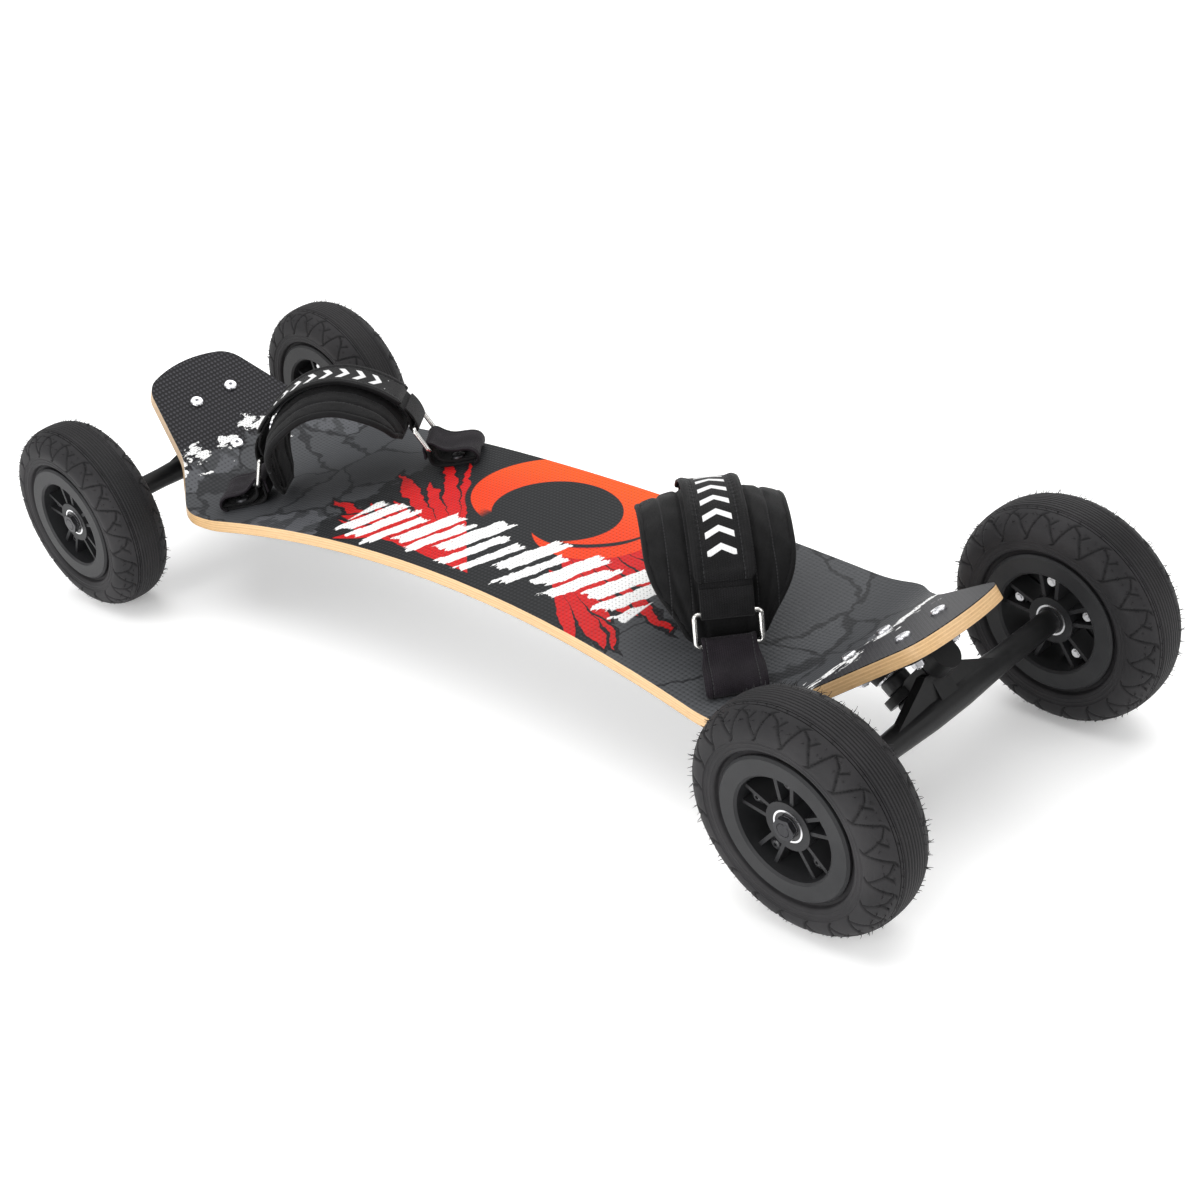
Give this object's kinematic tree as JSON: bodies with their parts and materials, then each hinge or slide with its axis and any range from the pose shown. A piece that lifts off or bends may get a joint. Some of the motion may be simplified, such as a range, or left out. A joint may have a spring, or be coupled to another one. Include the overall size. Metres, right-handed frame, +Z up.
{
  "type": "all-terrain skateboard",
  "caption": "Mountainboard with an arched deck, raised tips, sprung steering trucks, pneumatic tyres on spoked hubs and padded foot straps.",
  "frame": {"origin": "on the ground under the middle of the deck", "axes": "+X along the deck towards its front tip, +Y to the left, +Z up"},
  "size_m": [1.172, 0.398, 0.2329],
  "materials": {
    "deck_laminate": "clear lacquer over maple plies",
    "grip_sheet": "printed textured grip film",
    "black_casting": "satin black powder coat",
    "silver_bolts": "zinc plated",
    "silver_nuts": "zinc plated",
    "black_nuts": "black oxide",
    "kingpin_steel": "oiled steel",
    "pivot_plastic": "moulded",
    "bushing_urethane": "smooth urethane",
    "pad_fabric": "padded knitted fabric",
    "strap_webbing": "woven webbing with printed bars",
    "webbing": "woven webbing",
    "ring_wire": "nickel plated wire",
    "axle_steel": "turned steel",
    "spacer_steel": "turned steel",
    "bearing_steel": "ground steel",
    "tyre_rubber": "moulded rubber",
    "tube_rubber": "butyl rubber",
    "hub_nylon": "glass filled nylon"
  },
  "bodies": {
    "board": {"baseplate_front": "black_casting", "baseplate_rear": "black_casting", "bushing_lower_front": "bushing_urethane", "bushing_lower_rear": "bushing_urethane", "bushing_upper_front": "bushing_urethane", "bushing_upper_rear": "bushing_urethane", "cup_washers": "kingpin_steel", "d_rings": "ring_wire", "deck": "deck_laminate", "deck_bolts": "silver_bolts", "deck_nuts": "silver_nuts", "grip_sheet": "grip_sheet", "kingpin_nuts": "silver_nuts", "kingpins": "kingpin_steel", "pivot_cups": "pivot_plastic", "strap_anchors_front": "webbing", "strap_anchors_rear": "webbing", "strap_bolts": "silver_bolts", "strap_front": "strap_webbing", "strap_nuts": "silver_nuts", "strap_pad_front": "pad_fabric", "strap_pad_rear": "pad_fabric", "strap_rear": "strap_webbing"},
    "hanger_front": {"axle_front": "axle_steel", "axle_nuts_front": "black_nuts", "axle_spacers_front": "spacer_steel", "axle_washers_front": "spacer_steel", "hanger_front": "black_casting", "inner_races_front": "bearing_steel"},
    "hanger_rear": {"axle_nuts_rear": "black_nuts", "axle_rear": "axle_steel", "axle_spacers_rear": "spacer_steel", "axle_washers_rear": "spacer_steel", "hanger_rear": "black_casting", "inner_races_rear": "bearing_steel"},
    "wheel_front_left": {"hub_bolts_front_left": "silver_bolts", "hub_inner_front_left": "hub_nylon", "hub_outer_front_left": "hub_nylon", "inner_tube_front_left": "tube_rubber", "tyre_front_left": "tyre_rubber", "wheel_bearings_front_left": "bearing_steel"},
    "wheel_front_right": {"hub_bolts_front_right": "silver_bolts", "hub_inner_front_right": "hub_nylon", "hub_outer_front_right": "hub_nylon", "inner_tube_front_right": "tube_rubber", "tyre_front_right": "tyre_rubber", "wheel_bearings_front_right": "bearing_steel"},
    "wheel_rear_left": {"hub_bolts_rear_left": "silver_bolts", "hub_inner_rear_left": "hub_nylon", "hub_outer_rear_left": "hub_nylon", "inner_tube_rear_left": "tube_rubber", "tyre_rear_left": "tyre_rubber", "wheel_bearings_rear_left": "bearing_steel"},
    "wheel_rear_right": {"hub_bolts_rear_right": "silver_bolts", "hub_inner_rear_right": "hub_nylon", "hub_outer_rear_right": "hub_nylon", "inner_tube_rear_right": "tube_rubber", "tyre_rear_right": "tyre_rubber", "wheel_bearings_rear_right": "bearing_steel"}
  },
  "joints": [
    {"name": "truck_lean_front", "type": "hinge", "parent": "board", "child": "hanger_front", "pos_m": [0.44811, 0, 0.09779], "axis": [0.6522, 0, 0.758], "range_deg": [-15, 15], "stiffness_Nm_per_rad": 60, "deforming": ["bushing_upper_front", "bushing_lower_front"]},
    {"name": "truck_lean_rear", "type": "hinge", "parent": "board", "child": "hanger_rear", "pos_m": [-0.44811, 0, 0.09779], "axis": [-0.6522, 0, 0.758], "range_deg": [-15, 15], "stiffness_Nm_per_rad": 60, "deforming": ["bushing_upper_rear", "bushing_lower_rear"]},
    {"name": "wheel_spin_front_left", "type": "hinge", "parent": "hanger_front", "child": "wheel_front_left", "pos_m": [0.486, 0.168, 0.1], "axis": [0, 1, 0], "continuous": true},
    {"name": "wheel_spin_front_right", "type": "hinge", "parent": "hanger_front", "child": "wheel_front_right", "pos_m": [0.486, -0.168, 0.1], "axis": [0, 1, 0], "continuous": true},
    {"name": "wheel_spin_rear_left", "type": "hinge", "parent": "hanger_rear", "child": "wheel_rear_left", "pos_m": [-0.486, 0.168, 0.1], "axis": [0, 1, 0], "continuous": true},
    {"name": "wheel_spin_rear_right", "type": "hinge", "parent": "hanger_rear", "child": "wheel_rear_right", "pos_m": [-0.486, -0.168, 0.1], "axis": [0, 1, 0], "continuous": true}
  ]
}
